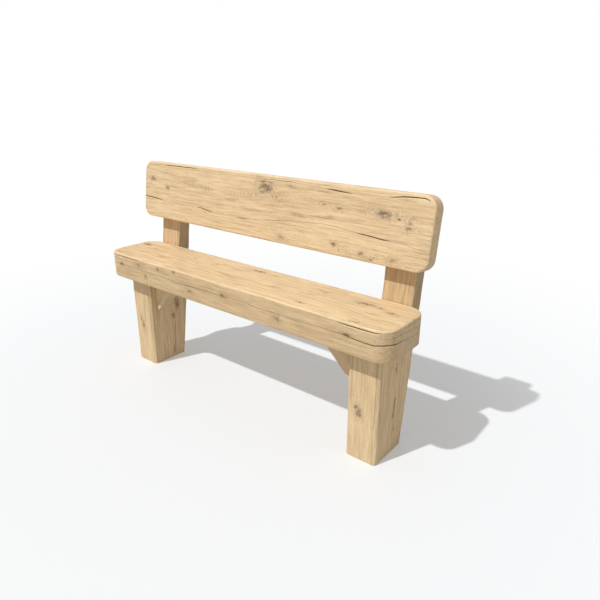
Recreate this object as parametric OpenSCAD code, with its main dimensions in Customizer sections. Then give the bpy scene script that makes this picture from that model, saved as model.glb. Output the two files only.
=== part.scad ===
// Rustic oak bench with a leaning back.
// A thick seat plank lies on two end legs. Two flat posts stand on the rear of the
// legs, lean back and carry the back plank. Corner braces stiffen the legs.
// X runs along the seat, Y from the front to the back, Z up. Millimetres.
// The origin lies on the floor, under the centre of the whole bench.
// Left and right are as seen by someone facing the front of the bench.

/* [Seat plank] */
// Length of the seat plank
seat_l = 1200; // [900:10:1600]
// Depth of the seat plank from front to rear
seat_d = 207; // [190:1:300]
// Thickness of the seat plank
seat_t = 92; // [80:1:120]
// Height of the seat's top face above the floor
seat_h = 450; // [400:5:520]
// Radius of the seat's corners, seen from above
seat_corner_r = 50; // [20:1:80]
// Radius of the seat's rounded long edges
seat_edge_r = 8; // [3:0.5:15]

/* [Back plank] */
// How far the back plank reaches past each end of the seat plank
back_reach = 0; // [-45:5:60]
// Width of the back plank, measured up the posts
back_w = 206; // [150:1:280]
// Thickness of the back plank
back_t = 48; // [44:1:70]
// Open space between seat top and back plank, measured up the posts
back_gap = 102; // [60:1:180]
// Radius of the back plank's corners, seen from the front
back_corner_r = 38; // [15:1:70]
// Radius of the back plank's rounded edges
back_edge_r = 7; // [3:0.5:12]
// Angle by which posts and back plank lean back
lean = 8; // [4:0.5:12]

/* [Legs] */
// Width of each leg, along the bench
leg_w = 100; // [90:1:140]
// Distance from the seat's end to the outer face of the leg
leg_inset = 50; // [20:1:120]
// Distance from the seat's front face back to the leg's front face
leg_setback = 55; // [30:1:60]
// Width of the small flats planed on the long corners of legs and posts
arris_w = 4; // [1:0.5:8]

/* [Posts] */
// Thickness of each post, from its front face to its back face
post_t = 53; // [48:1:70]
// Distance from the seat's rear edge to the post, at the height of the seat top
post_gap = 3; // [1:0.5:6]
// How far the post's top end stays below the top edge of the back plank
post_drop = 4; // [0:1:30]

/* [Post tenons] */
// Thickness of the tenon at the foot of each post
tenon_t = 25; // [18:1:30]
// Width of the tenon
tenon_w = 60; // [40:1:75]
// Length of the tenon below the top of the leg
tenon_l = 110; // [90:1:150]
// Diameter of the wooden pegs that lock the tenon
peg_d = 12; // [8:0.5:14]
// Length of the tenon pegs
peg_l = 60; // [50:1:66]

/* [Braces] */
// Length of the brace's two square sides
brace_side = 140; // [110:1:180]
// Thickness of the brace
brace_t = 40; // [30:1:60]
// Width of the blunt tips of the brace
brace_tip = 5; // [2:0.5:10]

/* [Dowels] */
// Diameter of the dowels between legs and seat plank
seat_dowel_d = 25; // [16:1:30]
// Length of the dowels between legs and seat plank
seat_dowel_l = 100; // [60:1:110]
// Diameter of the dowels in the braces
brace_dowel_d = 12; // [8:0.5:16]
// Length of the dowels in the braces
brace_dowel_l = 60; // [40:1:66]

/* [Coach screws] */
// Diameter of the coach screws' shanks
screw_d = 10; // [6:0.5:12]
// Length of the screws that hold the back plank
back_screw_l = 75; // [60:1:80]
// Length of the screws that hold the seat plank
seat_screw_l = 100; // [80:1:110]
// Width of the hexagonal screw heads across their flats
head_af = 17; // [13:0.5:19]
// Height of the screw heads
head_t = 7; // [5:0.5:8]
// Outer diameter of the washers
washer_d = 25; // [22:0.5:30]
// Thickness of the washers
washer_t = 2; // [1.5:0.5:3]
// Depth of the recess that hides washer and head
recess = 12; // [11:0.5:16]
// Depth of the seat screws below the seat's top face, measured down the post
seat_screw_drop = 30; // [25:1:34]

/* [Fits] */
// Clearance between neighbouring pieces, and all round pins and shanks
fit = 0.2; // [0.1:0.05:0.4]

/* [Hidden] */
$fn = 64;

// How far every cut runs past the faces that it opens
overrun = 10;

// Height of the legs, which is the height of the seat's underside
leg_h = seat_h - seat_t;
// Distance from the middle of the bench to the middle of a leg
leg_x = seat_l / 2 - leg_inset - leg_w / 2;
// Top end of the posts, measured up the post from the seat's top face
post_top = back_gap + back_w - post_drop;
// Front face of the posts behind the seat's front face, at the seat's top
post_y = seat_d + post_gap;
// Depth of the whole bench, and its front face
bench_d = post_y + post_top * sin(lean) + post_t * cos(lean);
front_y = -bench_d / 2;
// Rear face of the legs at their top and at the floor, in one line with the posts
leg_top_y = post_y + post_t / cos(lean) - seat_t * tan(lean);
leg_foot_y = leg_top_y - leg_h * tan(lean);
// Space along the post between the seat's top face and the top of the leg
shoulder = seat_t / cos(lean);
// Length of the back plank
back_l = seat_l + 2 * back_reach;
// Reach of the long cutting blocks
reach = seat_l + seat_h + back_w;

// Two seat dowels in each leg, and two dowels in each side of a brace
seat_dowel_shares = [0.27, 0.68];
brace_dowel_shares = [0.32, 0.68];
// Two pegs in each tenon and two screws in each end of the back plank
peg_shares = [0.32, 0.68];
back_screw_shares = [0.25, 0.75];

// A plank lying flat with its middle at the origin: round corners and round edges
module plank(l, d, t, corner, edge) {
    mid_l = l / 2 - corner;
    mid_d = d / 2 - corner;
    plank_core(l, d, t, corner);
    for (s = [-1, 1]) {
        translate([-mid_l, s * mid_d, 0]) rotate([90, 0, 90])
            linear_extrude(2 * mid_l) facing(s) edge_profile(t, corner, edge);
        translate([s * mid_l, mid_d, 0]) rotate([90, 0, 0])
            linear_extrude(2 * mid_d) facing(s) edge_profile(t, corner, edge);
    }
    for (a = [0, 90, 180, 270])
        translate([(a == 0 || a == 270 ? 1 : -1) * mid_l, (a < 180 ? 1 : -1) * mid_d, 0])
            rotate([0, 0, a]) rotate_extrude(angle = 90) edge_profile(t, corner, edge);
}

// The rectangular middle of a plank, inside its four round corners
module plank_core(l, d, t, corner) {
    translate([corner - l / 2, corner - d / 2, -t / 2])
        cube([l - 2 * corner, d - 2 * corner, t]);
}

// Half section through a plank's rim: a strip as wide as the corner radius
module edge_profile(t, corner, edge) {
    translate([0, -t / 2]) square([corner - edge, t]);
    translate([0, edge - t / 2]) square([corner, t - 2 * edge]);
    for (s = [-1, 1])
        translate([corner - edge, s * (t / 2 - edge)]) circle(edge);
}

// Turns a half section to face right, or left where s is negative
module facing(s) {
    mirror([s < 0 ? 1 : 0, 0]) children();
}

// Places children in the leaning frame of the posts: its origin is on the front face
// of the posts at the height of the seat top, Y through the post and Z up the post
module on_lean() {
    translate([0, front_y + post_y, seat_h]) rotate([-lean, 0, 0]) children();
}

// A long three-sided cutter that takes a flat off a corner running along Z
module arris_cutter(len) {
    linear_extrude(len + 2 * overrun, center = true)
        polygon([[-arris_w, -overrun], [overrun, -overrun], [overrun, arris_w]]);
}

// Flats on the four long corners of an upright block, seen in its own frame
module arris_cuts(w, d, len) {
    for (sx = [-1, 1]) for (sy = [-1, 1])
        mirror([sx < 0 ? 1 : 0, 0, 0]) mirror([0, sy > 0 ? 1 : 0, 0])
            translate([w / 2, -d / 2, 0]) arris_cutter(len);
}

// Holes and pins

// A round pin along Z, centred on the origin
module pin(d, l) {
    cylinder(d = d, h = l, center = true);
}

// Both dowels between one leg and the seat, half in each
module seat_dowel_pair(side, slack) {
    for (k = seat_dowel_shares)
        translate([side * leg_x, front_y + leg_setback + k * (post_y - leg_setback), leg_h])
            pin(seat_dowel_d + slack, seat_dowel_l + slack);
}

// The four dowels of one brace: two into the leg and two up into the seat
module brace_dowel_set(side, slack) {
    face_x = leg_x - leg_w / 2;
    for (k = brace_dowel_shares) {
        translate([side * face_x, front_y + seat_d / 2, leg_h - k * brace_side])
            rotate([0, 90, 0]) pin(brace_dowel_d + slack, brace_dowel_l + slack);
        translate([side * (face_x - k * brace_side), front_y + seat_d / 2, leg_h])
            pin(brace_dowel_d + slack, brace_dowel_l + slack);
    }
}

// The two pegs of one tenon, driven in from the back of the leg
module peg_pair(side, slack) {
    on_lean() for (k = peg_shares)
        translate([side * leg_x, post_t - peg_l / 2, -shoulder - k * tenon_l])
            rotate([90, 0, 0]) pin(peg_d + slack, peg_l + slack);
}

// Heights of the back screws, measured up the post
function back_screw_z(k) = back_gap + k * back_w;

// Shank hole and recess for one coach screw, cut from the rear face of the post
module screw_hole(len) {
    rotate([90, 0, 0]) {
        translate([0, 0, recess - post_t])
            cylinder(d = screw_d + fit, h = len - washer_t + fit);
        translate([0, 0, -post_t - overrun])
            cylinder(d = washer_d + 2 * fit, h = recess + overrun);
    }
}

// Holes for all screws at one end of the bench
module screw_holes(side) {
    on_lean() translate([side * leg_x, 0, 0]) {
        for (k = back_screw_shares)
            translate([0, 0, back_screw_z(k)]) screw_hole(back_screw_l);
        translate([0, 0, -seat_screw_drop]) screw_hole(seat_screw_l);
    }
}

// One coach screw: hexagonal head in the recess, shank with a blunt point
module coach_screw(len) {
    point = screw_d / 2;
    rotate([90, 0, 0]) translate([0, 0, recess - washer_t - post_t]) {
        translate([0, 0, -head_t]) cylinder(d = head_af / cos(30), h = head_t, $fn = 6);
        cylinder(d = screw_d, h = len - point);
        translate([0, 0, len - point]) cylinder(d1 = screw_d, d2 = screw_d / 3, h = point);
    }
}

// One washer at the bottom of the recess
module washer() {
    rotate([90, 0, 0]) translate([0, 0, recess - washer_t - post_t])
        difference() {
            cylinder(d = washer_d, h = washer_t);
            translate([0, 0, -overrun])
                cylinder(d = screw_d + fit, h = washer_t + 2 * overrun);
        }
}

// Timber

// Seat: a thick plank with round corners, notched at the rear where the posts pass
module seat_plank() {
    color("burlywood") difference() {
        translate([0, front_y + seat_d / 2, seat_h - seat_t / 2])
            plank(seat_l, seat_d, seat_t, seat_corner_r, seat_edge_r);
        for (side = [-1, 1]) {
            on_lean() translate([side * leg_x - leg_w / 2 - fit, -fit, -reach / 2])
                cube([leg_w + 2 * fit, reach, reach]);
            seat_dowel_pair(side, fit);
            brace_dowel_set(side, fit);
            screw_holes(side);
        }
    }
}

// Back: a thinner plank with round corners, screwed to the front of the posts
module back_plank() {
    color("burlywood") difference() {
        on_lean() translate([0, -back_t / 2, back_gap + back_w / 2]) rotate([90, 0, 0])
            plank(back_l, back_w, back_t, back_corner_r, back_edge_r);
        for (side = [-1, 1])
            screw_holes(side);
    }
}

// Leg: a heavy block with a plumb front and a rear face that leans with the post
module leg(side) {
    difference() {
        translate([side * leg_x - leg_w / 2, front_y, 0]) rotate([90, 0, 90])
            linear_extrude(leg_w)
                polygon([[leg_setback, 0], [leg_foot_y, 0], [leg_top_y, leg_h],
                         [leg_setback, leg_h]]);
        translate([side * leg_x, front_y + leg_setback + leg_w / 2, leg_h / 2])
            for (s = [0, 1]) mirror([s, 0, 0])
                translate([leg_w / 2, -leg_w / 2, 0]) arris_cutter(leg_h);
        on_lean() translate([side * leg_x, 0, -seat_h / 2])
            for (s = [0, 1]) mirror([s, 0, 0])
                translate([leg_w / 2, post_t, 0]) mirror([0, 1, 0]) arris_cutter(reach);
        on_lean() translate([side * leg_x, 0, 0]) tenon(fit);
        seat_dowel_pair(side, fit);
        brace_dowel_set(side, fit);
        peg_pair(side, fit);
    }
}

// Tenon block in the leaning frame, running up into the post
module tenon(slack) {
    z_low = -shoulder - tenon_l - slack;
    translate([-tenon_w / 2 - slack, (post_t - tenon_t) / 2 - slack, z_low])
        cube([tenon_w + 2 * slack, tenon_t + 2 * slack, shoulder + tenon_l]);
}

// Post: a flat board with a shoulder on the leg and a tenon below it
module post(side) {
    difference() {
        union() {
            difference() {
                on_lean() translate([side * leg_x, 0, 0]) post_board();
                translate([-reach, -reach, leg_h - reach])
                    cube([2 * reach, 2 * reach, reach]);
            }
            on_lean() translate([side * leg_x, 0, 0]) tenon(0);
        }
        peg_pair(side, fit);
        screw_holes(side);
    }
}

// The board of the post before its foot is cut to fit the leg
module post_board() {
    foot = -shoulder - post_t;
    difference() {
        translate([-leg_w / 2, 0, foot]) cube([leg_w, post_t, post_top - foot]);
        translate([0, post_t / 2, post_top / 2]) arris_cuts(leg_w, post_t, reach);
    }
}

// Brace: a square-cornered triangle between leg and seat, with blunt tips
module brace(side) {
    face_x = leg_x - leg_w / 2;
    difference() {
        mirror([side < 0 ? 1 : 0, 0, 0])
            translate([face_x, front_y + (seat_d + brace_t) / 2, leg_h])
                rotate([90, 0, 0]) linear_extrude(brace_t)
                    polygon([[0, 0], [-brace_side, 0], [-brace_side, -brace_tip],
                             [-brace_tip, -brace_side], [0, -brace_side]]);
        brace_dowel_set(side, fit);
    }
}

module left_leg() {
    color("tan") leg(-1);
}

module right_leg() {
    color("tan") leg(1);
}

module left_post() {
    color("tan") post(-1);
}

module right_post() {
    color("tan") post(1);
}

module left_brace() {
    color("burlywood") brace(-1);
}

module right_brace() {
    color("burlywood") brace(1);
}

// Wooden pins

module seat_dowels() {
    color("wheat") for (side = [-1, 1]) seat_dowel_pair(side, 0);
}

module brace_dowels() {
    color("wheat") for (side = [-1, 1]) brace_dowel_set(side, 0);
}

module tenon_pegs() {
    color("peru") for (side = [-1, 1]) peg_pair(side, 0);
}

// Screws and washers

module back_screws() {
    color("silver") on_lean() for (side = [-1, 1]) for (k = back_screw_shares)
        translate([side * leg_x, 0, back_screw_z(k)]) coach_screw(back_screw_l);
}

module back_washers() {
    color("gray") on_lean() for (side = [-1, 1]) for (k = back_screw_shares)
        translate([side * leg_x, 0, back_screw_z(k)]) washer();
}

module seat_screws() {
    color("silver") on_lean() for (side = [-1, 1])
        translate([side * leg_x, 0, -seat_screw_drop]) coach_screw(seat_screw_l);
}

module seat_washers() {
    color("gray") on_lean() for (side = [-1, 1])
        translate([side * leg_x, 0, -seat_screw_drop]) washer();
}

seat_plank();
back_plank();
left_leg();
right_leg();
left_post();
right_post();
left_brace();
right_brace();
seat_dowels();
brace_dowels();
tenon_pegs();
back_screws();
back_washers();
seat_screws();
seat_washers();
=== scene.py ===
import math

import bmesh
import bpy
import numpy as np
from mathutils import Matrix, Vector


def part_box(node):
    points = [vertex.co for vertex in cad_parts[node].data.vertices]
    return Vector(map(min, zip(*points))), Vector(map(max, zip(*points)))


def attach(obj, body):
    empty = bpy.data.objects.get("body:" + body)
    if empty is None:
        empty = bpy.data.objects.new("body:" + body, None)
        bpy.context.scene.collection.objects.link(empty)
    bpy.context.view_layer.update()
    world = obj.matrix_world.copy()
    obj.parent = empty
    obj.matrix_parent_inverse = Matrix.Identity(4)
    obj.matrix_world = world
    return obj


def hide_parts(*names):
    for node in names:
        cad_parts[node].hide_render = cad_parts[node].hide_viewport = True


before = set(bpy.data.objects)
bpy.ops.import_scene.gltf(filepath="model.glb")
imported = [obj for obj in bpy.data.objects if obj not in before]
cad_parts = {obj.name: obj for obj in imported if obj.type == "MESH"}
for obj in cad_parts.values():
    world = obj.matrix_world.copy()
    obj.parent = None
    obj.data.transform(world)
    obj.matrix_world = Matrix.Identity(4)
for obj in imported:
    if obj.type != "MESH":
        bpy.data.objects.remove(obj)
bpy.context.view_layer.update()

# Seat plank
# One thick plank of air-dried oak with round corners and hand-eased edges. It lies on
# the two legs, held by dowels, and its rear edge is notched where the posts pass.

SEAT_LOW, SEAT_HIGH = (np.array(corner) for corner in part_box("seat_plank"))
SEAT_CORNER = 0.050
SEAT_EDGE = 0.006
LEAN = math.radians(8)
POST_GAP = 0.003
NOTCH_SLACK = 0.0002
ALONG_STEP = 0.007
ACROSS_STEP = 0.003
RIM_STEP = 0.0024
RELIEF = 0.0003
RELIEF_CELLS = ((0.13, 0.014), (0.3, 0.034))
PIN_SLACK = 0.0001
CUT_KEEP = 0.002
FULL_GAPE = 0.004
WANDER = 0.0006
WANDER_CELL = 0.025
# How far from the edges the wear, the painted highlight and the painted line of shade reach, in
# edge radii.
EDGE_WEAR_AND_LIGHT_REACH = 1.6
KNOT_DIMPLE = 0.0007
KNOT_RIM = 0.0003
WELD = 1e-5
CRISP_TURN = 38
SIDES = {"left": (0, -1, 1, 2), "right": (0, 1, 1, 2), "front": (1, -1, 0, 2),
         "rear": (1, 1, 0, 2), "under": (2, -1, 0, 1), "top": (2, 1, 0, 1)}


class Shake:
    """A drying crack along the grain: its path on one side, and where it gapes.

    gapes holds (start, end, depth); elsewhere it is a line as dark as faint says. row is
    where its rows of points lie before they follow the path."""

    def __init__(self, side, path, gapes, width=0.0016, faint=0.25, row=None):
        self.side = side
        self.across = SIDES[side][3]
        self.path = np.array(path)
        self.gapes = gapes
        self.width = width
        self.faint = faint
        self.row = self.path[:, 1].mean() if row is None else row

    def rows(self):
        return self.row + self.width * np.array([-1, -0.5, 0, 0.5, 1])

    def opening(self, u):
        """Depth of the crack along the grain."""
        depth = np.zeros_like(u)
        for start, end, deepest in self.gapes:
            share = np.clip((u - start) / (end - start), 0, 1)
            depth = np.maximum(depth, deepest * np.sin(math.pi * share) ** 0.6)
        return depth


class Knot:
    """A knot: where it meets the surface and its radii along the piece's own axes."""

    def __init__(self, place, radii, lift=0.006, dark=1.0):
        self.place = place
        self.radii = radii
        self.lift = lift
        self.dark = dark


def ripple(u, v, cell_u, cell_v, seed):
    """Smooth random height from -1 to 1, on cells stretched along the grain."""
    table = np.random.default_rng(seed).uniform(-1, 1, (64, 64))
    cell = [u / cell_u, v / cell_v]
    low = [np.floor(c).astype(int) for c in cell]
    part = [c - f for c, f in zip(cell, low)]
    part = [p * p * (3 - 2 * p) for p in part]
    height = 0
    for i in (0, 1):
        for j in (0, 1):
            weight = (part[0] if i else 1 - part[0]) * (part[1] if j else 1 - part[1])
            height = height + weight * table[(low[0] + i) % 64, (low[1] + j) % 64]
    return height


def ruled(half, rim, step, rows=()):
    """Lines across one side: close together near its ends, and five on each shake."""
    edges = [-half, rim - half, half - rim, half]
    steps = [RIM_STEP, step, RIM_STEP]
    lines = [half]
    for low, high, gap in zip(edges, edges[1:], steps):
        lines.extend(np.linspace(low, high, max(2, round((high - low) / gap)) + 1)[:-1])
    lines = np.array(lines)
    for group in rows:
        clear = (lines < group[0] - step / 3) | (lines > group[-1] + step / 3)
        lines = np.concatenate([lines[clear | (abs(lines) == half)], group])
    return np.sort(lines)


def boxed(lines):
    """Points and four-sided faces of a closed box whose sides are ruled by the lines."""
    shape = [len(part) for part in lines]
    outer = np.zeros(shape, bool)
    for axis in range(3):
        np.moveaxis(outer, axis, 0)[[0, -1]] = True
    number = np.cumsum(outer).reshape(shape) - 1
    points = np.stack([lines[a][i] for a, i in enumerate(np.nonzero(outer))], 1)
    faces = []
    for axis in range(3):
        for side in (0, -1):
            sheet = np.moveaxis(number, axis, 0)[side]
            quads = [sheet[:-1, :-1], sheet[1:, :-1], sheet[1:, 1:], sheet[:-1, 1:]]
            quads = np.stack(quads, -1).reshape(-1, 4)
            faces.append(quads[:, ::-1] if (side == 0) != (axis == 1) else quads)
    return points, np.concatenate(faces)


def turned(a, b):
    """Angle on a round corner of the place (a, b) on the square around it."""
    low = b / np.maximum(a, 1e-12)
    high = 2 - a / np.maximum(b, 1e-12)
    return np.where(a >= b, low, high) * math.pi / 4


def eased(points, half, rim, corner, edge, flat=False):
    """Rounds a box: its corners in the plane of the two rim axes, or planes them flat,
    then rounds its other edges. corner may have a value for each point."""
    x, y = rim
    z = 3 - x - y
    size = abs(points)
    inset = np.minimum(half[x] - size[:, x], half[y] - size[:, y])
    side = np.clip(1 - inset / edge, 0, 1)
    rise = np.clip((size[:, z] - half[z] + edge) / edge, 0, 1)
    on_edge = (side > 0) & (rise > 0)
    angle = turned(side, rise)
    moved = size.copy()
    moved[:, z] = np.where(on_edge, half[z] - edge + edge * np.sin(angle), size[:, z])
    new_inset = np.where(on_edge, edge * (1 - np.cos(angle)), inset)
    to_corner = [(size[:, axis] - half[axis] + corner) / corner for axis in rim]
    in_corner = (to_corner[0] > 0) & (to_corner[1] > 0)
    swing = turned(*[np.maximum(share, 0) for share in to_corner])
    share = swing / (math.pi / 2)
    turns = (1 - share, share) if flat else (np.cos(swing), np.sin(swing))
    nearest = [half[x] - size[:, x] <= half[y] - size[:, y]]
    nearest.append(~nearest[0])
    for axis, near, turn in zip(rim, nearest, turns):
        straight = np.where(near, half[axis] - new_inset, size[:, axis])
        bent = half[axis] - corner + (corner - new_inset) * turn
        moved[:, axis] = np.where(in_corner, bent, straight)
    return moved * np.sign(points)


def normals(points, faces):
    """Outward normal at each point."""
    corners = points[faces]
    flat = np.cross(corners[:, 2] - corners[:, 0], corners[:, 3] - corners[:, 1])
    total = [np.bincount(faces.ravel(), np.repeat(flat[:, a], 4), len(points))
             for a in range(3)]
    total = np.stack(total, 1)
    return total / np.linalg.norm(total, axis=1, keepdims=True)


def crack(points, side, shakes, half, seed):
    """Moves the rows of one side onto its shakes. Returns depth and darkness of points."""
    normal, sign, along, across = SIDES[side]
    here = np.isclose(points[:, normal], sign * half[normal])
    u, v = points[here, along], points[here, across]
    limit = half[across] - CUT_KEEP
    moved = v.copy()
    depth, mark = np.zeros(len(points)), np.zeros(len(points))
    row, path = -limit, np.full_like(u, -limit)
    for number, shake in enumerate(sorted(shakes, key=lambda shake: shake.row)):
        next_path = np.interp(u, shake.path[:, 0], shake.path[:, 1])
        next_path = next_path + WANDER * ripple(u, 0 * u, WANDER_CELL, 1, seed + number)
        opening = shake.opening(u)
        gape = np.clip(opening / FULL_GAPE, 0, 1) ** 0.5
        within = (u > shake.path[0, 0]) & (u < shake.path[-1, 0])
        inside = abs(v - shake.row) < 1.01 * shake.width
        before = (v > row) & (v < shake.row) & ~inside
        share = (v - row) / (shake.row - shake.width - row)
        moved = np.where(before, path + share * (next_path - shake.width - path), moved)
        off = (v - shake.row) / shake.width
        narrow = (0.6 + 0.6 * gape) * shake.width
        moved = np.where(inside, next_path + off * narrow, moved)
        here_depth = np.where(inside, opening * (1 - abs(off)), 0)
        here_mark = np.where(inside & within, (1 - abs(off)) * np.maximum(gape, shake.faint), 0)
        depth[here] += here_depth
        mark[here] += here_mark
        row, path = shake.row + shake.width, next_path + shake.width
    after = (v > row * 1.0001) & (v < limit)
    moved = np.where(after, path + (v - row) * (limit - path) / (limit - row), moved)
    points[here, across] = moved
    return depth, mark


def timber(name, size, steps, rim, corner, edge, bend, shakes=(), knots=(), seed=0, flat=None):
    """Mesh of one oak piece: ruled box, shakes opened, edges eased, surface brushed.

    bend places the finished points of the straight piece in the frame. flat, for corners
    that are planed and not round, gives their width at each point, up to corner."""
    half = np.array(size) / 2
    lines = []
    for axis in range(3):
        rows = [s.rows() for s in shakes if s.across == axis]
        lines.append(ruled(half[axis], min(corner, half[axis] / 2), steps[axis], rows))
    points, faces = boxed(lines)
    inset = half - abs(points)
    from_sides = inset[:, rim]
    from_edge = np.maximum(inset[:, 3 - sum(rim)], from_sides.min(1))
    # Closeness to the edges: it marks worn edges, lightened partly as wear and partly as a painted
    # highlight, and a painted line of shade beside them.
    worn = np.clip(1 - from_edge / (EDGE_WEAR_AND_LIGHT_REACH * edge), 0, 1)
    if flat:
        beside_corner = 1 - from_sides.max(1) / (EDGE_WEAR_AND_LIGHT_REACH * corner)
        worn = np.maximum(worn, np.clip(beside_corner, 0, 1))
    depth = np.zeros(len(points))
    mark = np.zeros(len(points))
    for number, side in enumerate(SIDES):
        own = [shake for shake in shakes if shake.side == side]
        if own:
            opened = crack(points, side, own, half, seed + 10 * number)
            depth += opened[0]
            mark = np.maximum(mark, opened[1])
    if flat:
        corner = flat(points, seed)
    points = eased(points, half, rim, corner, edge, flat is not None)
    for knot in knots:
        reach = np.linalg.norm((points - knot.place) / knot.radii, axis=1)
        depth += knot.dark * KNOT_DIMPLE * np.exp(-(reach / 0.6) ** 2)
        depth -= knot.dark * KNOT_RIM * np.exp(-((reach - 1.2) / 0.4) ** 2)
    section = points[:, 1] + 1.3 * points[:, 2]
    uneven = 0.5
    for number, cell in enumerate(RELIEF_CELLS):
        uneven = uneven + 0.25 * ripple(points[:, 0], section, *cell, seed + 50 + number)
    depth += RELIEF * uneven
    outward = normals(points, faces)
    # Painted shade: a mask of the sides, away from the two broad faces, which the finish darkens.
    sawn = np.clip(1.4 - 1.8 * abs(outward[:, 2]), 0, 1)
    points = bend(points - depth[:, None] * outward)
    mesh = bpy.data.meshes.new(name)
    mesh.from_pydata(points.tolist(), [], faces.tolist())
    for label, values in (("shake", np.clip(mark, 0, 1)), ("worn", worn), ("sawn", sawn)):
        mesh.attributes.new(label, "FLOAT", "POINT").data.foreach_set("value", values)
    piece = bpy.data.objects.new(name, mesh)
    bpy.context.scene.collection.objects.link(piece)
    return piece


def cut(piece, tools, tongue=None):
    """Joins a tongue to a piece, cuts the tools out of it and shades it with crisp rims."""
    joined = [tongue] if tongue else []
    for tool in joined + tools:
        bite = piece.modifiers.new("bite", "BOOLEAN")
        bite.operation = "UNION" if tool == tongue else "DIFFERENCE"
        bite.object = tool
        bite.solver = "EXACT"
    state = piece.evaluated_get(bpy.context.evaluated_depsgraph_get())
    whole = bpy.data.meshes.new_from_object(state)
    piece.modifiers.clear()
    piece.data = whole
    for tool in joined + tools:
        bpy.data.objects.remove(tool)
    whole.shade_smooth()
    whole.set_sharp_from_angle(angle=math.radians(CRISP_TURN))


def mould(*nodes):
    """Copies of CAD pieces, a hair larger, to cut their holes with."""
    copies = []
    for node in nodes:
        shape = bmesh.new()
        shape.from_mesh(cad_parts[node].data)
        shape.transform(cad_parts[node].matrix_world)
        bmesh.ops.remove_doubles(shape, verts=shape.verts, dist=WELD)
        shape.normal_update()
        for point in shape.verts:
            point.co += point.normal * PIN_SLACK
        mesh = bpy.data.meshes.new("cutter")
        shape.to_mesh(mesh)
        shape.free()
        copies.append(bpy.data.objects.new("cutter", mesh))
        bpy.context.scene.collection.objects.link(copies[-1])
    return copies


def block(low, high, bend=lambda points: points):
    """A plain box, used only to cut or join with."""
    corners = [[(low, high)[i][0], (low, high)[j][1], (low, high)[k][2]]
               for i in (0, 1) for j in (0, 1) for k in (0, 1)]
    mesh = bpy.data.meshes.new("cutter")
    sides = [[0, 1, 3, 2], [4, 6, 7, 5], [0, 4, 5, 1], [2, 3, 7, 6], [0, 2, 6, 4], [1, 5, 7, 3]]
    mesh.from_pydata(bend(np.array(corners)).tolist(), [], sides)
    cutter = bpy.data.objects.new("cutter", mesh)
    bpy.context.scene.collection.objects.link(cutter)
    return cutter


class Wire:
    """A value in a finish's nodes. Sums and products of wires add Math nodes."""

    def __init__(self, finish, socket):
        self.finish = finish
        self.socket = socket

    def math(self, operation, *others):
        return self.finish.node("ShaderNodeMath", {"operation": operation}, [self, *others])

    def __add__(self, other):
        return self.math("ADD", other)

    def __mul__(self, other):
        return self.math("MULTIPLY", other)

    def __sub__(self, other):
        return self.math("SUBTRACT", other)

    def __truediv__(self, other):
        return self.math("DIVIDE", other)

    def __pow__(self, other):
        return self.math("POWER", other)

    def __rsub__(self, other):
        return self * -1 + other

    __radd__ = __add__
    __rmul__ = __mul__

    def step(self, low, high):
        """0 below low, 1 above high and a smooth rise between, or a fall if high < low."""
        span = {"From Min": low, "From Max": high, "Value": self}
        return self.finish.node("ShaderNodeMapRange", {"interpolation_type": "SMOOTHSTEP"}, span)


class Finish:
    """The nodes of a material, or of the sky, in the making, and their one main shader."""

    def __init__(self, owner, shader="Principled BSDF"):
        owner.use_nodes = True
        self.tree = owner.node_tree
        self.shader = self.tree.nodes[shader]

    def node(self, kind, settings=None, inputs=(), out=0):
        """Any node: its type, its settings, its sockets' values or wires, its output."""
        made = self.tree.nodes.new(kind)
        for key, value in (settings or {}).items():
            if key == "stops":
                for place, colour in value[2:]:
                    made.color_ramp.elements.new(place)
                for stop, (place, colour) in zip(made.color_ramp.elements, sorted(value)):
                    stop.position = place
                    stop.color = (*colour, 1)
            else:
                setattr(made, key, value)
        pairs = inputs.items() if isinstance(inputs, dict) else enumerate(inputs)
        for key, value in pairs:
            if isinstance(value, Wire):
                self.tree.links.new(value.socket, made.inputs[key])
            else:
                made.inputs[key].default_value = value
        return Wire(self, made.outputs[out])

    def vector(self, operation, *inputs, out=0):
        return self.node("ShaderNodeVectorMath", {"operation": operation}, inputs, out)

    def mark(self, name):
        """A value that the mesh carries at its points."""
        return self.node("ShaderNodeAttribute", {"attribute_name": name}, out="Fac")

    def mix(self, share, one, other, blend="MIX"):
        colours = [c if isinstance(c, Wire) else (*c, 1) for c in (one, other)]
        return self.node("ShaderNodeMix", {"data_type": "RGBA", "blend_type": blend},
                         {0: share, 6: colours[0], 7: colours[1]}, out=2)

    def noise(self, place, scales, detail=2.0, rough=0.5):
        """Cloudy value from 0 to 1; scales are its cells per metre along each axis."""
        stretched = self.vector("MULTIPLY", place, scales)
        return self.node("ShaderNodeTexNoise", None,
                         {"Vector": stretched, "Scale": 1.0, "Detail": detail, "Roughness": rough})

    def give(self, socket, value):
        """Feeds a socket of the shader, or sets it."""
        if isinstance(value, Wire):
            self.tree.links.new(value.socket, self.shader.inputs[socket])
        else:
            self.shader.inputs[socket].default_value = value


OAK_DARK = (0.40, 0.255, 0.130)
OAK_MID = (0.665, 0.465, 0.255)
OAK_STRAW = (0.83, 0.605, 0.345)
OAK_PALE = (0.99, 0.775, 0.485)
OAK_BLUSH = (0.58, 0.400, 0.245)
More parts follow.
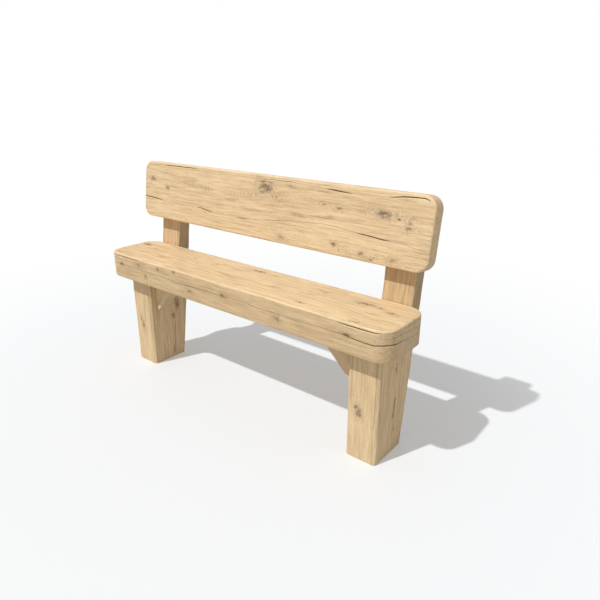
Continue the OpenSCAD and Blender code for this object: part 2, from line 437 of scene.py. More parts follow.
# Brown of pores, ring lines and dashes, and of the painted line of shade beside the edges.
GRAIN_AND_SHADE_BROWN = (0.24, 0.150, 0.075)
KNOT_HEART = (0.165, 0.108, 0.066)
KNOT_HALO = (0.40, 0.285, 0.185)
SHAKE_DARK = (0.075, 0.045, 0.022)
RING = 0.0060
RING_SWAY = 0.016
TAPER = 0.012
WAVES = 430
WAVE_TALL = 0.0018
DIP_RING = 0.0135
DIP_TALL = 0.013
BUMP = 0.0006
UNTOUCHED = 9.0
CLOUD_CELLS = (2.2, 12, 12)
JUMBLE_CELLS = (26, 45, 45)
CURL_CELLS = (3.5, 20, 20)
SWAY_CELLS = (1.7, 10, 10)
FIBRE_CELLS = (15, 420, 420)
STREAK_CELLS = (6, 120, 120)
DRIFT_CELLS = (1.5, 50, 50)
SHOW_CELLS = (12, 40, 40)
PORE_CELLS = (75, 1500, 1500)
DASH_CELLS = (13, 300, 300)
BLUSH_CELLS = (6, 30, 30)
KNOT_CELLS = (70, 150, 150)
PATCH_CELLS = (14, 60, 60)


def oak(name, middle, along, across, pith, knots=(), dips=(), shade=1.0, sides=1.0,
        lines=1.0, edge_shade=0.12, seed=0.0):
    """Brushed oak. The rings run round the pith, which lies at (across, through) from
    the middle of the piece, and each knot lifts the rings around it. dips holds (along,
    across, reach) of places where the grain dips and its rings run out in arcs. shade
    makes a piece paler or deeper, sides darkens its sides against its two broad faces as
    painted shade, lines weakens its rings, edge_shade paints a dark line of shade beside
    its edges, and seed gives it a grain of its own."""
    material = bpy.data.materials.new(name)
    wood = Finish(material)
    spot = wood.node("ShaderNodeTexCoord", out="Object")
    offset = wood.vector("SUBTRACT", spot, tuple(middle))
    through = np.cross(along, across)
    u, v, w = [wood.vector("DOT_PRODUCT", offset, tuple(axis), out="Value")
               for axis in (along, across, through)]
    place = wood.node("ShaderNodeCombineXYZ", None, [u, v, w])
    tree = wood.vector("ADD", place, (seed, seed, seed))
    smudge = wood.node("ShaderNodeTexNoise", None,
                       {"Vector": tree, "Scale": 75.0, "Detail": 3.0, "Roughness": 0.6}, "Color")
    smudge = wood.vector("SUBTRACT", smudge, (0.5, 0.5, 0.5))
    uneven = wood.vector("MULTIPLY_ADD", smudge, (0.030, 0.013, 0.013), place)

    near = UNTOUCHED
    lift = 0.0
    for knot in knots:
        at = {"Vector": uneven, "Location": knot.place, "Scale": knot.radii}
        inner = wood.node("ShaderNodeMapping", {"vector_type": "TEXTURE"}, at)
        reach = wood.vector("LENGTH", inner, out="Value")
        lift = (reach * reach * -0.35).math("EXPONENT") * knot.lift + lift
        near = (reach + 1 - knot.dark).math("SMOOTH_MIN", near, 0.3)

    cloud = wood.noise(tree, CLOUD_CELLS)
    jumble = wood.noise(tree, JUMBLE_CELLS)
    curl = wood.noise(tree, CURL_CELLS).step(0.56, 0.72)
    if knots:
        curl = curl.math("MAXIMUM", near.step(4.2, 1.4) * 1.3)
    wave = (u * WAVES + jumble * 13).math("SINE") * (jumble * WAVE_TALL * curl)
    sway = (wood.noise(tree, SWAY_CELLS) - 0.5) * RING_SWAY + wave + lift
    ring_v = v - pith[0] + (cloud - 0.5) * RING_SWAY
    ring_w = w - pith[1]
    radius = (ring_v * ring_v + ring_w * ring_w) ** 0.5 + u * TAPER + sway

    grain_at = wood.node("ShaderNodeCombineXYZ", None, [u + seed, v + sway, w + sway])
    fibre = wood.noise(grain_at, FIBRE_CELLS, 4.0, 0.66)
    streak = wood.noise(grain_at, STREAK_CELLS, 3.0, 0.6)
    uneven_ring = radius / RING + wood.noise(grain_at, DRIFT_CELLS, 1.0) * 1.6
    ring = uneven_ring.math("FRACT")
    ring_show = wood.noise(tree, SHOW_CELLS, 3.0, 0.6).step(0.42, 0.66)
    line = ring.step(0.0, 0.10) * ring.step(0.40, 0.12) * ring_show * lines
    pores = wood.noise(tree, PORE_CELLS, 1.0).step(0.56, 0.68)
    dash = wood.noise(grain_at, DASH_CELLS).step(0.61, 0.72)
    blush = wood.noise(tree, BLUSH_CELLS, 3.0, 0.6).step(0.52, 0.74)

    tone = (0.60 + (cloud - 0.5) * 0.35 + (fibre - 0.5) * 1.15 + (streak - 0.5) * 0.85
            - pores * (0.08 + line * 0.2))
    stops = [(0.0, OAK_DARK), (1.0, OAK_PALE), (0.34, OAK_MID), (0.62, OAK_STRAW)]
    colour = wood.node("ShaderNodeValToRGB", {"stops": stops}, [tone])
    colour = wood.mix(blush * 0.26, colour, OAK_BLUSH)
    colour = wood.mix(line * (0.08 + fibre * 0.55), colour, GRAIN_AND_SHADE_BROWN)
    colour = wood.mix(dash * 0.34, colour, GRAIN_AND_SHADE_BROWN)
    height = fibre * 0.6 + streak * 0.3 - pores * 0.5 - dash * 0.5 - line * 0.5
    for dip_along, dip_across, reach in dips:
        away = wood.vector("SUBTRACT", place, (dip_along, dip_across, 0))
        arc = wood.vector("LENGTH", wood.vector("MULTIPLY", away, (1, 2.6, 0)), out="Value")
        turn = (arc / DIP_RING + jumble * 2.6).math("FRACT")
        spread = wood.vector("MULTIPLY", away, (1 / reach, 1 / DIP_TALL, 0))
        fade = wood.vector("LENGTH", spread, out="Value").step(1.5, 0.4)
        arcs = turn.step(0.0, 0.25) * turn.step(0.7, 0.35) * fade * (ring_show * 0.8 + 0.2)
        colour = wood.mix(arcs * 0.66, colour, GRAIN_AND_SHADE_BROWN)
    if knots:
        broken = wood.noise(tree, KNOT_CELLS, 3.0, 0.65)
        around = near.step(2.7, 0.5) * broken.step(0.20, 0.85)
        heart = near.step(1.35, 0.35) * broken.step(0.28, 0.56)
        colour = wood.mix(around * 0.75, colour, KNOT_HALO)
        colour = wood.mix(heart * 0.74, colour, KNOT_HEART)
        height = height - around * 0.3 - heart * 0.3
    worn = wood.mark("worn")
    patchy = wood.noise(tree, PATCH_CELLS)
    # Edges lightened in patches: partly wear, partly a painted highlight on the rounded edges.
    rubbed_and_highlight = worn.step(0.35, 0.8) * patchy.step(0.30, 0.55)
    # A dark line just beside the edges, in patches: painted shade.
    edge_shade_line = worn.step(0.02, 0.20) * worn.step(0.50, 0.25) * patchy.step(0.62, 0.40)
    colour = wood.mix(rubbed_and_highlight * 0.35, colour, OAK_PALE)
    colour = wood.mix(edge_shade_line * edge_shade, colour, GRAIN_AND_SHADE_BROWN)
    shake = wood.mark("shake")
    colour = wood.mix(shake.step(0.03, 0.60), colour, SHAKE_DARK)
    # shade deepens the whole piece; sides darkens its sides against its broad faces, a painted
    # shade.
    for share, level in ((1.0, shade), (wood.mark("sawn"), sides)):
        if level != 1.0:
            colour = wood.mix(share, colour, (level, level * 0.985, level * 0.97), "MULTIPLY")
    wood.give("Base Color", colour)
    wood.give("Roughness", (0.70 - (tone - 0.5) * 0.15).math("MINIMUM", 0.9))
    bumped = wood.node("ShaderNodeBump", None,
                       {"Strength": 0.6, "Distance": BUMP, "Height": height})
    wood.give("Normal", bumped)
    return material


def finish_oak(piece, material, node):
    """Dresses a timber, stands it in for its CAD node and lets it ride."""
    piece.data.materials.clear()
    piece.data.materials.append(material)
    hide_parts(node)
    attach(piece, "root")


seat_size = SEAT_HIGH - SEAT_LOW
seat_middle = (SEAT_LOW + SEAT_HIGH) / 2


def seat_top_knot(x, y, long, wide, **more):
    """A knot in the seat's top, by its place along it and its distance from the front."""
    return Knot((x, y - seat_size[1] / 2, seat_size[2] / 2), (long, wide, 0.03), **more)


def seat_front_knot(x, z, long, tall, **more):
    """A knot in the seat's front, by its place along it and its height above the legs."""
    return Knot((x, -seat_size[1] / 2, z - seat_size[2] / 2), (long, 0.04, tall), **more)


seat_knots = [
    seat_top_knot(0.010, 0.169, 0.026, 0.006, lift=0.005),
    seat_top_knot(0.082, 0.166, 0.022, 0.005, dark=0.4),
    seat_top_knot(0.291, 0.034, 0.010, 0.005),
    seat_top_knot(0.303, 0.144, 0.007, 0.003, lift=0.003),
    seat_top_knot(0.440, 0.142, 0.026, 0.006, dark=1.1),
    seat_top_knot(0.492, 0.137, 0.009, 0.004, lift=0.004),
    seat_top_knot(0.533, 0.124, 0.018, 0.007, dark=0.6),
    seat_top_knot(0.490, 0.015, 0.016, 0.004, dark=0.8, lift=0.003),
    seat_top_knot(-0.152, 0.135, 0.012, 0.005, dark=0.5),
    seat_top_knot(-0.269, 0.137, 0.008, 0.003, dark=0.7, lift=0.003),
    seat_top_knot(-0.474, 0.124, 0.016, 0.006, dark=0.4),
    seat_top_knot(-0.553, 0.146, 0.018, 0.007, dark=1.1, lift=0.002),
    seat_top_knot(-0.560, 0.022, 0.024, 0.005, dark=0.5, lift=0.002),
    seat_front_knot(-0.521, 0.054, 0.012, 0.006, lift=0.004),
    seat_front_knot(-0.419, 0.070, 0.026, 0.009, dark=0.45),
    seat_front_knot(-0.381, 0.035, 0.010, 0.012, dark=0.5),
    seat_front_knot(-0.308, 0.076, 0.008, 0.005, lift=0.004),
    seat_front_knot(-0.223, 0.084, 0.008, 0.005, dark=0.9, lift=0.003),
    seat_front_knot(-0.147, 0.033, 0.026, 0.007, dark=0.5),
    seat_front_knot(0.009, 0.055, 0.012, 0.006, lift=0.004),
    seat_front_knot(0.232, 0.036, 0.016, 0.009, lift=0.005, dark=0.7),
    seat_front_knot(0.472, 0.056, 0.012, 0.006, lift=0.004),
]
long_line = [(-0.60, 0.008), (-0.318, 0.007), (-0.212, 0.004), (-0.129, 0.004), (0.0, 0.008),
             (0.086, 0.009), (0.191, 0.006), (0.318, 0.004), (0.39, 0.009), (0.468, 0.007),
             (0.50, 0.004), (0.53, 0.002), (0.56, 0.003), (0.60, 0.006)]
line_round_end = [(-0.104, 0.006), (-0.051, 0.006), (-0.006, 0.0), (0.05, -0.004),
                  (0.104, -0.009)]
line_over_it = [(-0.104, 0.023), (-0.052, 0.026), (-0.008, 0.022), (0.048, 0.017), (0.104, 0.011)]
under_edge = [(-0.58, 0.038), (-0.42, 0.039), (0.40, 0.039), (0.48, 0.037), (0.58, 0.039)]
long_top = [(-0.60, -0.018), (0.0, -0.022), (0.386, -0.0255), (0.431, -0.027), (0.462, -0.033),
            (0.497, -0.034), (0.60, -0.037)]
rear_top = [(-0.60, 0.046), (-0.54, 0.041), (0.40, 0.034), (0.42, 0.031), (0.442, 0.041),
            (0.47, 0.039), (0.60, 0.036)]
seat_shakes = [
    Shake("front", long_line, [(0.44, 0.70, 0.003), (-0.20, -0.05, 0.001)], faint=0.58, row=0.006),
    Shake("right", line_round_end, [(-0.20, -0.02, 0.003)], faint=0.55, row=0.006),
    Shake("right", line_over_it, [(-0.07, -0.03, 0.001)], faint=0.5, row=0.022),
    Shake("front", under_edge, [(-0.59, -0.41, 0.003), (0.44, 0.58, 0.004)], faint=0.1),
    Shake("top", long_top, [(0.38, 0.50, 0.002)], faint=0.45),
    Shake("top", rear_top, [(-0.58, -0.53, 0.005), (0.412, 0.475, 0.006)], width=0.0028,
          faint=0.0),
]

POST_UP = np.array((0, math.sin(LEAN), math.cos(LEAN)))
POST_IN = np.array((0, math.cos(LEAN), -math.sin(LEAN)))
POST_START = np.array((0, SEAT_HIGH[1] + POST_GAP, SEAT_HIGH[2]))
LEG_BOXES = {side: [np.array(corner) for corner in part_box(side + "_leg")]
             for side in ("left", "right")}


def on_seat(points):
    return points + seat_middle


def on_lean(points):
    """From the posts' own axes, along the bench, into the post and up it, to the frame."""
    return (POST_START + points[:, :1] * (1, 0, 0) + points[:, 1:2] * POST_IN
            + points[:, 2:] * POST_UP)


seat_plank = timber("seat", seat_size, (ALONG_STEP, ACROSS_STEP, ACROSS_STEP), (0, 1),
                    SEAT_CORNER, SEAT_EDGE, on_seat, seat_shakes, seat_knots, seed=11)
notches = [block((low[0] - NOTCH_SLACK, -NOTCH_SLACK, -1), (high[0] + NOTCH_SLACK, 1, 1), on_lean)
           for low, high in LEG_BOXES.values()]
cut(seat_plank, notches + mould("seat_dowels", "brace_dowels", "seat_screws"))
# The seat's front, rear and ends are darkened against its top and bottom: painted shade.
seat_oak = oak("seat_oak", seat_middle, (1, 0, 0), (0, 1, 0), (0.03, -0.30), seat_knots,
               sides=0.89)
finish_oak(seat_plank, seat_oak, "seat_plank")

# Back plank
# A thinner oak plank, as long as the seat, with a big branch knot above its middle. It
# is screwed from behind to the front of the two leaning posts.

BACK_WIDE = 0.206
BACK_THICK = 0.048
BACK_GAP = 0.102
BACK_CORNER = 0.038
BACK_EDGE = 0.006

back_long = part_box("back_plank")[1].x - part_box("back_plank")[0].x
back_size = (back_long, BACK_WIDE, BACK_THICK)
back_middle = (POST_START + (BACK_GAP + BACK_WIDE / 2) * POST_UP
               - BACK_THICK / 2 * POST_IN)
BACK_FACE = BACK_THICK / 2


def back_knot(x, height, long, wide, **more):
    """A knot by its place along the plank and its height above the lower edge."""
    return Knot((x, height - BACK_WIDE / 2, BACK_FACE), (long, wide, 0.05), **more)


back_knots = [
    back_knot(0.022, 0.166, 0.028, 0.017, lift=0.012, dark=1.0),
    back_knot(0.004, 0.162, 0.012, 0.012, dark=1.3),
    back_knot(0.018, 0.184, 0.026, 0.004, dark=1.1),
    back_knot(0.120, 0.180, 0.026, 0.004, dark=0.6),
    back_knot(0.451, 0.140, 0.019, 0.009, lift=0.009, dark=1.2),
    back_knot(0.452, 0.139, 0.009, 0.005, dark=1.5),
    back_knot(0.498, 0.132, 0.009, 0.003, lift=0.004),
    back_knot(0.532, 0.128, 0.008, 0.006, lift=0.004, dark=0.7),
    back_knot(0.529, 0.110, 0.010, 0.006, lift=0.004, dark=0.75),
    back_knot(-0.550, 0.142, 0.014, 0.007, lift=0.005),
    back_knot(-0.465, 0.115, 0.008, 0.006, lift=0.004),
    back_knot(0.097, 0.021, 0.020, 0.010, lift=0.004, dark=0.6),
    back_knot(0.297, 0.032, 0.011, 0.007, lift=0.004, dark=0.9),
    back_knot(0.392, 0.021, 0.014, 0.007, lift=0.004, dark=0.65),
    back_knot(0.428, 0.009, 0.008, 0.004, lift=0.003, dark=0.7),
    back_knot(0.499, 0.019, 0.018, 0.013, lift=0.005, dark=0.45),
    back_knot(0.307, 0.137, 0.008, 0.004, lift=0.005, dark=0.9),
    back_knot(0.250, 0.142, 0.007, 0.003, lift=0.004, dark=0.9),
]
back_dips = [(-0.46, 0.030, 0.045), (-0.29, 0.035, 0.060), (-0.15, 0.030, 0.040),
             (-0.06, 0.035, 0.045), (0.08, 0.040, 0.035), (0.18, 0.060, 0.030),
             (0.26, 0.040, 0.030), (0.31, 0.035, 0.030), (0.45, 0.040, 0.045),
             (0.54, 0.030, 0.030), (0.33, -0.085, 0.030), (0.41, -0.085, 0.030)]
low_line = [(-0.60, -0.030), (-0.516, -0.034), (-0.463, -0.041), (-0.286, -0.038),
            (-0.24, -0.045), (-0.17, -0.047), (-0.084, -0.048), (0.029, -0.039),
            (0.128, -0.027), (0.242, -0.018), (0.287, -0.018), (0.346, -0.024),
            (0.394, -0.028), (0.459, -0.032), (0.51, -0.032), (0.543, -0.037), (0.60, -0.045)]
mid_line = [(0.03, 0.0), (0.20, -0.001), (0.39, 0.0), (0.465, -0.003), (0.60, 0.0)]
top_line = [(-0.59, 0.088), (-0.50, 0.093), (-0.32, 0.094), (-0.07, 0.087), (0.034, 0.090),
            (0.115, 0.091), (0.173, 0.087), (0.289, 0.083), (0.34, 0.080), (0.41, 0.083),
            (0.47, 0.085), (0.525, 0.092), (0.59, 0.093)]
back_shakes = [
    Shake("top", low_line, [(-0.62, -0.49, 0.004), (-0.30, -0.22, 0.003), (-0.11, -0.04, 0.001),
                            (0.06, 0.12, 0.001), (0.37, 0.48, 0.005)], faint=0.48),
    Shake("top", mid_line, [(0.20, 0.30, 0.001)], faint=0.38),
    Shake("top", top_line, [(-0.50, -0.30, 0.003), (0.03, 0.15, 0.001), (0.25, 0.345, 0.004),
                            (0.46, 0.59, 0.004)], faint=0.40),
]


def on_back(points):
    return (back_middle + points[:, :1] * (1, 0, 0) + points[:, 1:2] * POST_UP
            - points[:, 2:] * POST_IN)


back_plank = timber("back", back_size, (ALONG_STEP, ACROSS_STEP, ACROSS_STEP), (0, 1),
                    BACK_CORNER, BACK_EDGE, on_back, back_shakes, back_knots, seed=23)
cut(back_plank, mould("back_screws"))
back_oak = oak("back_oak", back_middle, (1, 0, 0), tuple(POST_UP), (0.045, -0.15), back_knots,
               back_dips, seed=2.3)
finish_oak(back_plank, back_oak, "back_plank")

# Legs
# Two short lengths of heavy beam stood on end, with planed flats on their long corners.
# Their front is plumb and their rear leans with the posts, which are let into their top.

LEG_FLAT = 0.0085
LEG_FLAT_LEAST = 0.002
RIGHT_FRONT_LEAST = 0.0045
LEG_FLAT_SPREAD = 0.004
FLAT_CELL = 0.055
END_EASE = 0.0015
POST_THICK = 0.053
TENON_THICK = 0.025
TENON_WIDE = 0.060
TENON_DEEP = 0.110
TENON_SLACK = 0.0002
LEG_KNOTS = {
    "left": [Knot((-0.028, -0.006, -0.098), (0.014, 0.007, 0.03), lift=0.005),
             Knot((0.000, -0.017, -0.098), (0.014, 0.006, 0.03), lift=0.004, dark=0.7),
             Knot((0.042, 0.050, 0.027), (0.019, 0.02, 0.007), lift=0.006, dark=1.2),
             Knot((-0.002, 0.050, 0.005), (0.012, 0.02, 0.007), lift=0.006, dark=0.9),
             Knot((-0.150, 0.050, -0.003), (0.020, 0.02, 0.006), lift=0.005, dark=0.5)],
    "right": [Knot((-0.026, -0.012, -0.098), (0.014, 0.009, 0.03), lift=0.006),
              Knot((-0.006, -0.022, -0.098), (0.012, 0.008, 0.03), lift=0.004, dark=0.65),
              Knot((0.100, 0.050, -0.006), (0.016, 0.02, 0.005), lift=0.004, dark=0.5),
              Knot((-0.105, 0.050, 0.001), (0.010, 0.02, 0.006), lift=0.004, dark=0.6)],
}
LEG_SHAKES = {
    "left": [Shake("rear", [(-0.178, 0.030), (0.178, 0.034)], [(-0.16, -0.02, 0.002)], faint=0.2)],
    "right": [Shake("rear", [(-0.178, 0.008), (-0.048, 0.012), (-0.008, 0.014), (0.178, 0.016)],
                    [(-0.060, 0.004, 0.008)], width=0.0042, faint=0.1)],
}

leg_top = LEG_BOXES["left"][1][2]
post_foot = (leg_top - SEAT_HIGH[2]) / math.cos(LEAN)


def tenon(middle, slack):
    """The tongue under a post, and with some slack the mortise for it."""
    half = np.array((TENON_WIDE, TENON_THICK)) / 2 + slack
    return block((middle - half[0], POST_THICK / 2 - half[1], post_foot - TENON_DEEP - slack),
                 (middle + half[0], POST_THICK / 2 + half[1], post_foot + POST_THICK / 2),
                 on_lean)


def leg_flats(points, seed):
    """Uneven widths of the planed corners; the right front one is the widest."""
    which = 7.3 * np.sign(points[:, 1]) + 3.1 * np.sign(points[:, 2])
    wave = 0.5 + 0.5 * ripple(points[:, 0], which, FLAT_CELL, 1, seed)
    right_front = (points[:, 1] > 0) & (points[:, 2] < 0)
    least = np.where(right_front, RIGHT_FRONT_LEAST, LEG_FLAT_LEAST)
    return least + LEG_FLAT_SPREAD * wave


for number, (side, (low, high)) in enumerate(LEG_BOXES.items()):
    leg_size = np.roll(high - low, 1)
    leg_middle = (low + high) / 2

    def on_leg(points):
        """Stands the beam up and pulls its rear face in towards the floor."""
        drop = leg_size[0] / 2 - points[:, 0]
        rear = high[1] - drop * math.tan(LEAN)
        depth = low[1] + (points[:, 2] / leg_size[2] + 0.5) * (rear - low[1])
        return np.stack([points[:, 1] + leg_middle[0], depth, high[2] - drop], 1)

    leg = timber(side + "_block", leg_size, (ALONG_STEP, ACROSS_STEP, ACROSS_STEP), (1, 2),
                 LEG_FLAT, END_EASE, on_leg, LEG_SHAKES[side], LEG_KNOTS[side],
                 31 + number, leg_flats)
    cut(leg, [tenon(leg_middle[0], TENON_SLACK)] + mould("seat_dowels", "brace_dowels",
                                                         "tenon_pegs"))
    # The legs get a strong painted line of shade beside their planed corners.
    leg_oak = oak(side + "_leg_oak", leg_middle, (0, 0, 1), (1, 0, 0), (-0.09, 0.012),
                  LEG_KNOTS[side], lines=0.5, edge_shade=0.4, seed=3.1 + number)
    finish_oak(leg, leg_oak, side + "_leg")

# Posts
# Two oak boards as wide as the legs. A tongue under each goes into its leg, the seat is
# notched round it, and screws through it hold the seat and the back plank.

POST_TOP = 0.304
POST_FLAT = 0.005
POST_FLAT_LEAST = 0.002
SCREW_HOLE = 0.0051
RECESS_HOLE = 0.0127
RECESS_DEEP = 0.012
HOLE_SIDES = 48
SEAT_SCREW_DROP = 0.030
BACK_SCREW_SHARES = (0.25, 0.75)
POST_SHAKES = {
    "left": [Shake("top", [(-0.20, 0.018), (-0.05, 0.016), (0.20, 0.021)],
                   [(-0.12, 0.17, 0.003)], faint=0.2)],
    "right": [Shake("top", [(-0.20, -0.024), (0.02, -0.020), (0.20, -0.022)],
                    [(-0.18, 0.06, 0.003)], faint=0.15)],
}


def hole(middle, up, radius, start, end):
    """A round cutter along the posts' own depth, from start to end."""
    turns = np.linspace(0, 2 * math.pi, HOLE_SIDES + 1)[:-1]
    ring = [middle + radius * np.sin(turns), 0 * turns, up + radius * np.cos(turns)]
    near, far = np.stack(ring, 1), np.stack(ring, 1)
    near[:, 1], far[:, 1] = start, end
    sides = [(i, (i + 1) % HOLE_SIDES, HOLE_SIDES + (i + 1) % HOLE_SIDES, HOLE_SIDES + i)
             for i in range(HOLE_SIDES)]
    caps = [tuple(range(HOLE_SIDES))[::-1], tuple(range(HOLE_SIDES, 2 * HOLE_SIDES))]
    mesh = bpy.data.meshes.new("cutter")
    mesh.from_pydata(on_lean(np.concatenate([near, far])).tolist(), [], sides + caps)
    cutter = bpy.data.objects.new("cutter", mesh)
    bpy.context.scene.collection.objects.link(cutter)
    return cutter


def post_flats(points, seed):
    """Uneven widths of the post's planed corners."""
    wave = 0.5 + 0.5 * ripple(points[:, 0], 5 * np.sign(points[:, 1]), FLAT_CELL, 1, seed)
    return POST_FLAT_LEAST + (POST_FLAT - POST_FLAT_LEAST) * wave


for number, (side, (low, high)) in enumerate(LEG_BOXES.items()):
    middle = (low[0] + high[0]) / 2
    post_size = (POST_TOP - post_foot, high[0] - low[0], POST_THICK)

    def on_post(points):
        """Leans the board back over a foot cut level to sit on the leg."""
        inward = points[:, 2] + POST_THICK / 2
        foot = post_foot + inward * math.tan(LEAN)
        up = foot + (points[:, 0] / post_size[0] + 0.5) * (POST_TOP - foot)
        return on_lean(np.stack([points[:, 1] + middle, inward, up], 1))

    post = timber(side + "_board", post_size, (ALONG_STEP, ACROSS_STEP, ACROSS_STEP), (1, 2),
                  POST_FLAT, END_EASE, on_post, POST_SHAKES[side], (), 41 + number,
                  post_flats)
    screws = [BACK_GAP + share * BACK_WIDE for share in BACK_SCREW_SHARES] + [-SEAT_SCREW_DROP]
    floor_of_recess = POST_THICK - RECESS_DEEP
    bores = [hole(middle, up, SCREW_HOLE, -POST_THICK, 2 * POST_THICK) for up in screws]
    bores += [hole(middle, up, RECESS_HOLE, floor_of_recess, 2 * POST_THICK) for up in screws]
    cut(post, bores + mould("tenon_pegs"), tenon(middle, 0))
    post_middle = on_lean(np.array([[middle, POST_THICK / 2, (post_foot + POST_TOP) / 2]]))[0]
    # The posts' narrow sides are darkened as painted shade, and a line of painted shade runs
    # beside their edges.
    post_oak = oak(side + "_post_oak", post_middle, tuple(POST_UP), (1, 0, 0), (-0.02, 0.11),
                   shade=0.82, sides=0.78, edge_shade=0.3, seed=5.7 + number)
    finish_oak(post, post_oak, side + "_post")

# Braces
# A triangle of oak under the seat at each leg, its grain along the slanting side and its
# sharp tips cut blunt. Hidden dowels hold it to the leg and to the seat.

BRACE_REACH = 0.140
BRACE_TIP = 0.005
BRACE_EASE = 0.002
HALF_RIGHT = math.radians(45)

for number, side in enumerate(LEG_BOXES):
    brace_low, brace_high = [np.array(corner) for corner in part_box(side + "_brace")]
    at_left = side == "left"
    inward = 1 if at_left else -1
    brace_size = brace_high - brace_low
    brace_middle = (brace_low + brace_high) / 2

    def on_brace(points):
        """Draws the blank up to its slanting side."""
        along = points[:, 0] + brace_size[0] / 2
        from_leg = along if at_left else brace_size[0] - along
        tall = np.minimum(BRACE_REACH, BRACE_REACH + BRACE_TIP - from_leg)
        drop = (0.5 - points[:, 2] / brace_size[2]) * tall
        return np.stack([points[:, 0] + brace_middle[0], points[:, 1] + brace_middle[1],
                         brace_high[2] - drop], 1)

    brace = timber(side + "_bracket", brace_size, (ACROSS_STEP, ACROSS_STEP, ACROSS_STEP),
                   (0, 1), BRACE_EASE, BRACE_EASE, on_brace, seed=51 + number)
    cut(brace, mould("brace_dowels"))
    brace_grain = (inward * math.cos(HALF_RIGHT), 0, math.sin(HALF_RIGHT))
    brace_oak = oak(side + "_brace_oak", brace_middle, brace_grain, (0, 1, 0),
                    (0.01, 0.12 * inward), seed=7.9 + number)
    finish_oak(brace, brace_oak, side + "_brace")

# Dowels and pegs
# Round hardwood dowels inside the joints, and four oak pegs knocked in from behind
# through each pair of mortise and tongue. Only the pegs' round ends show.

BEECH = (0.62, 0.42, 0.24)
BEECH_DARK = (0.50, 0.31, 0.16)

dowel_beech = bpy.data.materials.new("dowel_beech")
beech = Finish(dowel_beech)
spot = beech.node("ShaderNodeTexCoord", out="Object")
grain = beech.noise(spot, (300, 300, 12), 3.0)
beech.give("Base Color", beech.mix(grain.step(0.3, 0.7), BEECH_DARK, BEECH))
beech.give("Roughness", 0.55 + grain * 0.1)
for node in ("seat_dowels", "brace_dowels"):
    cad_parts[node].data.materials.clear()
    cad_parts[node].data.materials.append(dowel_beech)

peg_middle = [(low + high) / 2 for low, high in zip(*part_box("tenon_pegs"))]
peg_oak = oak("peg_oak", peg_middle, tuple(POST_IN), (1, 0, 0), (0.0, 0.03), seed=9.4)
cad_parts["tenon_pegs"].data.materials.clear()
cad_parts["tenon_pegs"].data.materials.append(peg_oak)

# Coach screws and washers
# Zinc-plated steel screws with six-sided heads, each on a flat washer at the bottom of a
# recess in the post's rear. The plating has gone a little dull and uneven.

ZINC_PALE = (0.64, 0.65, 0.66)
ZINC_DULL = (0.42, 0.43, 0.43)

zinc_steel = bpy.data.materials.new("zinc_steel")
zinc = Finish(zinc_steel)
spot = zinc.node("ShaderNodeTexCoord", out="Object")
dulled = zinc.noise(spot, (90, 90, 90), 3.0).step(0.35, 0.7)
zinc.give("Base Color", zinc.mix(dulled, ZINC_PALE, ZINC_DULL))
zinc.give("Metallic", 1.0)
zinc.give("Roughness", 0.32 + dulled * 0.22)
for node in ("back_screws", "back_washers", "seat_screws", "seat_washers"):
    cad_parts[node].data.materials.clear()
    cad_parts[node].data.materials.append(zinc_steel)

# Floor, light and camera
# The bench stands on a plain pale floor under one high sun from the front left and an
# even white sky. The camera looks down from the front right, a metre above the floor.

SUN_PATH = (0.40, 1.0, -1.42)
SUN_LEVEL = 0.74
SUN_BLUR = 1.2
SKY_LEVEL = 0.45
LENS = 32.44
SENSOR = 36.0
CAMERA_PLACE = (1.1787, -1.2317, 1.0053)
CAMERA_TURN = 38.572
CAMERA_TILT = 21.055
CAMERA_ROLL = 0.212
FLOOR_REACH = 40.0
FLOOR_SEEN = (0.868, 0.885, 0.90)
FLOOR_BOUNCE = (0.48, 0.48, 0.48)
FADE_START = 0.6
FADE_END = 2.3
GLOW_LEAST = 0.16

ground = bpy.data.meshes.new("ground")
ground.from_pydata([(x * FLOOR_REACH, y * FLOOR_REACH, 0)
                    for x, y in ((-1, -1), (1, -1), (1, 1), (-1, 1))], [], [(0, 1, 2, 3)])
floor = bpy.data.objects.new("floor", ground)
bpy.context.scene.collection.objects.link(floor)


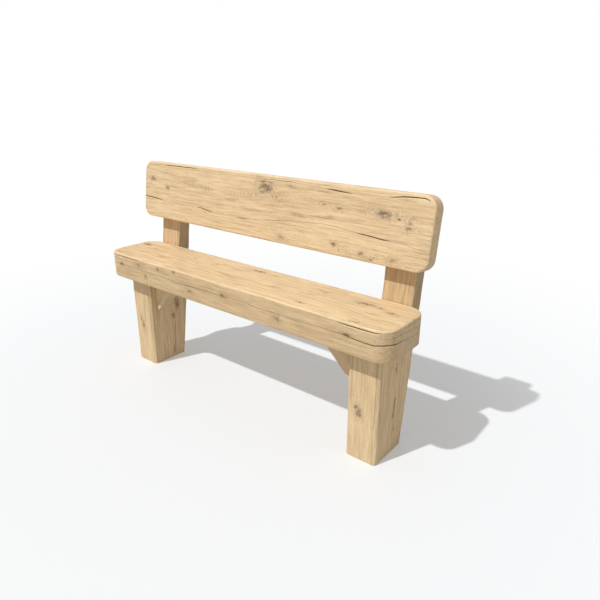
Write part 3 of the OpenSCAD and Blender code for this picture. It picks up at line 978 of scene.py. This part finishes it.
def seen_by(finish):
    """1 for the rays that show the surroundings: straight, off metal or through glass."""
    seen, mirrored, through = [finish.node("ShaderNodeLightPath", out=kind) for kind in
                               ("Is Camera Ray", "Is Glossy Ray", "Is Transmission Ray")]
    return seen.math("MAXIMUM", mirrored).math("MAXIMUM", through)


pale_floor = bpy.data.materials.new("pale_floor")
screed = Finish(pale_floor)
seen = seen_by(screed)
screed.give("Base Color", screed.mix(seen, FLOOR_BOUNCE, FLOOR_SEEN))
screed.give("Roughness", 0.9)
# Painted light: for the camera the floor glows, a little near the bench, which lightens the
# bench's shadow on it, and fully far off, where it fades to white.
glow = screed.node("ShaderNodeEmission", None, [(1, 1, 1, 1), 1.0])
spot = screed.node("ShaderNodeTexCoord", out="Object")
far = screed.vector("LENGTH", spot, out="Value").step(FADE_START, FADE_END)
far = far * (1 - GLOW_LEAST) + GLOW_LEAST
body = Wire(screed, screed.shader.outputs[0])
both = screed.node("ShaderNodeMixShader", None, [far * seen, body, glow])
screed.tree.links.new(both.socket, screed.tree.nodes["Material Output"].inputs["Surface"])
ground.materials.append(pale_floor)

world = bpy.data.worlds.new("sky")
bpy.context.scene.world = world
sky = Finish(world, "Background")
sky.give("Color", (1, 1, 1, 1))
sky.give("Strength", seen_by(sky) * (1 - SKY_LEVEL) + SKY_LEVEL)

sun_light = bpy.data.lights.new("sun", "SUN")
sun_light.energy = SUN_LEVEL * math.pi
sun_light.angle = math.radians(SUN_BLUR)
sun = bpy.data.objects.new("sun", sun_light)
bpy.context.scene.collection.objects.link(sun)
sun.rotation_mode = "QUATERNION"
sun.rotation_quaternion = Vector(SUN_PATH).to_track_quat("-Z", "Y")

lens = bpy.data.cameras.new("camera")
lens.lens = LENS
lens.sensor_width = SENSOR
camera = bpy.data.objects.new("camera", lens)
bpy.context.scene.collection.objects.link(camera)
turn = Matrix.Rotation(math.radians(CAMERA_TURN), 4, "Z")
tilt = Matrix.Rotation(math.radians(90 - CAMERA_TILT), 4, "X")
roll = Matrix.Rotation(math.radians(CAMERA_ROLL), 4, "Z")
camera.matrix_world = Matrix.Translation(CAMERA_PLACE) @ turn @ tilt @ roll
bpy.context.scene.camera = camera
bpy.context.scene.view_settings.view_transform = "Standard"
